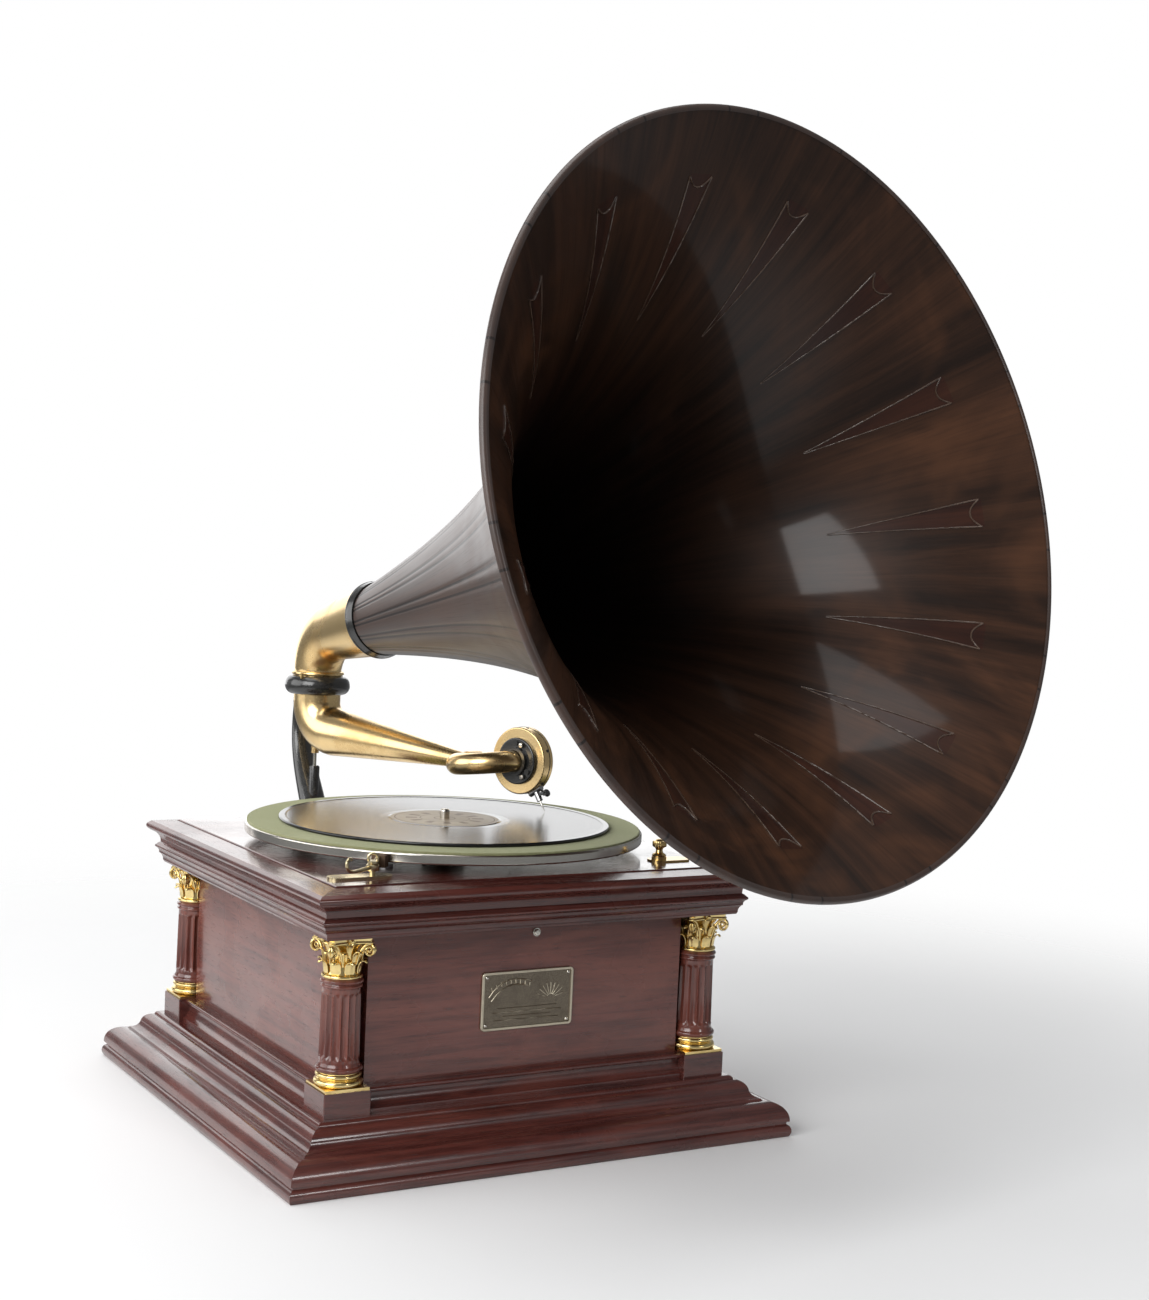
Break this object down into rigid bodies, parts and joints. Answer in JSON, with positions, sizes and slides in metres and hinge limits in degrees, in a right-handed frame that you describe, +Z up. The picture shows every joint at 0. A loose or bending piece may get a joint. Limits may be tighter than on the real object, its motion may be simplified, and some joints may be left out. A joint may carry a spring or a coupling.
{
  "type": "wind-up phonograph",
  "caption": "Table-top wind-up phonograph: moulded wooden cabinet with corner columns, spring motor, turntable, tone arm and a large flared wooden horn on a swivelling elbow.",
  "frame": {"origin": "bottom centre of the cabinet's plinth", "axes": "+Z up, -Y toward the front with the name plate, +X toward the crank"},
  "size_m": [0.5661, 0.6893, 0.7322],
  "materials": {
    "mahogany": "gloss",
    "gilt": "polished",
    "nickel": "polished",
    "black_iron": "gloss",
    "steel": "satin",
    "brass": "satin",
    "green_felt": "matte",
    "shellac": "gloss",
    "plate_bronze": "satin",
    "horn_wood": "gloss",
    "dark_wood": "gloss",
    "mica": "clear",
    "spring_steel": "satin",
    "leather": "matte"
  },
  "bodies": {
    "cabinet": {"bottom_board": "mahogany", "base_moulding": "mahogany", "inner_base_moulding": "mahogany", "front_panel": "mahogany", "back_panel": "mahogany", "left_panel": "mahogany", "right_panel": "mahogany", "corner_posts": "mahogany", "column_pedestals": "mahogany", "column_bases": "gilt", "column_shafts": "mahogany", "column_capitals": "gilt", "cornice_moulding": "mahogany", "motor_board": "mahogany", "name_plate": "plate_bronze", "name_plate_pins": "nickel", "front_button": "nickel", "crank_escutcheon": "nickel", "motor_top_plate": "black_iron", "motor_frame_plates": "black_iron", "motor_bolts": "steel", "spindle_bearing": "brass", "clutch_spring": "spring_steel", "back_bracket": "black_iron", "bracket_screws": "brass", "arm_pivot_pin": "nickel", "brake_plate": "nickel", "speed_dial": "brass"},
    "turntable": {"turntable_platter": "nickel", "turntable_felt": "green_felt", "record_disc": "shellac", "turntable_spindle": "nickel"},
    "spring_drum": {"spring_barrel": "steel", "mainsprings": "spring_steel", "great_gear": "brass"},
    "layshaft": {"intermediate_arbor": "steel", "face_gear": "brass"},
    "governor": {"governor_shaft": "steel", "governor_weights": "brass"},
    "winding_arbor": {"barrel_arbor": "steel"},
    "crank": {"crank_shaft": "nickel", "crank_arm": "nickel"},
    "crank_grip": {"crank_knob": "dark_wood"},
    "brake": {"brake_lever": "nickel", "brake_pad": "leather"},
    "regulator": {"speed_knob": "brass"},
    "regulator_lever": {"speed_lever": "steel"},
    "horn": {"horn_bell": "horn_wood", "horn_rim": "horn_wood", "horn_ferrule": "black_iron", "elbow": "gilt"},
    "arm": {"tone_arm": "gilt"},
    "sound_box": {"gooseneck": "gilt", "soundbox_shell": "gilt", "soundbox_back": "black_iron", "diaphragm": "mica", "stylus_bar": "steel", "needle": "nickel"},
    "thumb_screw": {"needle_screw": "black_iron"}
  },
  "joints": [
    {"name": "turntable_spin", "type": "hinge", "parent": "cabinet", "child": "turntable", "pos_m": [0, -0.004, 0.21], "axis": [0, 0, 1], "continuous": true},
    {"name": "barrel_turn", "type": "hinge", "parent": "cabinet", "child": "spring_drum", "pos_m": [0, -0.062, 0.114], "axis": [1, 0, 0], "continuous": true},
    {"name": "layshaft_turn", "type": "hinge", "parent": "cabinet", "child": "layshaft", "pos_m": [0, -0.004, 0.09209], "axis": [1, 0, 0], "continuous": true},
    {"name": "governor_turn", "type": "hinge", "parent": "cabinet", "child": "governor", "pos_m": [0, 0.01986, 0.15], "axis": [1, 0, 0], "continuous": true},
    {"name": "crank_turn", "type": "hinge", "parent": "cabinet", "child": "crank", "pos_m": [0.2, 0.02, 0.114], "axis": [1, 0, 0], "continuous": true},
    {"name": "winding_turn", "type": "hinge", "parent": "cabinet", "child": "winding_arbor", "pos_m": [0, -0.062, 0.114], "axis": [1, 0, 0], "continuous": true},
    {"name": "crank_grip_spin", "type": "hinge", "parent": "crank", "child": "crank_grip", "pos_m": [0.26, 0.128, 0.114], "axis": [1, 0, 0], "continuous": true},
    {"name": "brake_swing", "type": "hinge", "parent": "cabinet", "child": "brake", "pos_m": [-0.118, -0.13, 0.205], "axis": [0, 0, 1], "range_deg": [-14, 0]},
    {"name": "regulator_turn", "type": "hinge", "parent": "cabinet", "child": "regulator", "pos_m": [0.121, -0.123, 0.205], "axis": [0, 0, 1], "range_deg": [0, 270]},
    {"name": "regulator_lever_swing", "type": "hinge", "parent": "cabinet", "child": "regulator_lever", "pos_m": [0.046, 0.01, 0.181], "axis": [0, 0, 1], "range_deg": [-1.6, 0.1]},
    {"name": "horn_swivel", "type": "hinge", "parent": "cabinet", "child": "horn", "pos_m": [0, 0.2526, 0.3], "axis": [0, 0, 1], "range_deg": [-90, 90]},
    {"name": "tonearm_swing", "type": "hinge", "parent": "cabinet", "child": "arm", "pos_m": [0, 0.2526, 0.26], "axis": [0, 0, 1], "range_deg": [-12, 25]},
    {"name": "gooseneck_flip", "type": "hinge", "parent": "arm", "child": "sound_box", "pos_m": [0.06698, 0.0823, 0.24893], "axis": [-0.9306, -0.366, 0], "range_deg": [0, 120]},
    {"name": "thumb_screw_turn", "type": "hinge", "parent": "sound_box", "child": "thumb_screw", "pos_m": [0.09506, 0.01091, 0.23021], "axis": [0.307, -0.7805, 0.5446], "continuous": true}
  ],
  "couplings": [
    {"joint": "barrel_turn", "follows": "turntable_spin", "ratio": -0.08},
    {"joint": "layshaft_turn", "follows": "turntable_spin", "ratio": 0.33333},
    {"joint": "governor_turn", "follows": "turntable_spin", "ratio": 10},
    {"joint": "winding_turn", "follows": "crank_turn", "ratio": -0.64},
    {"joint": "regulator_lever_swing", "follows": "regulator_turn", "ratio": -0.0055556}
  ]
}
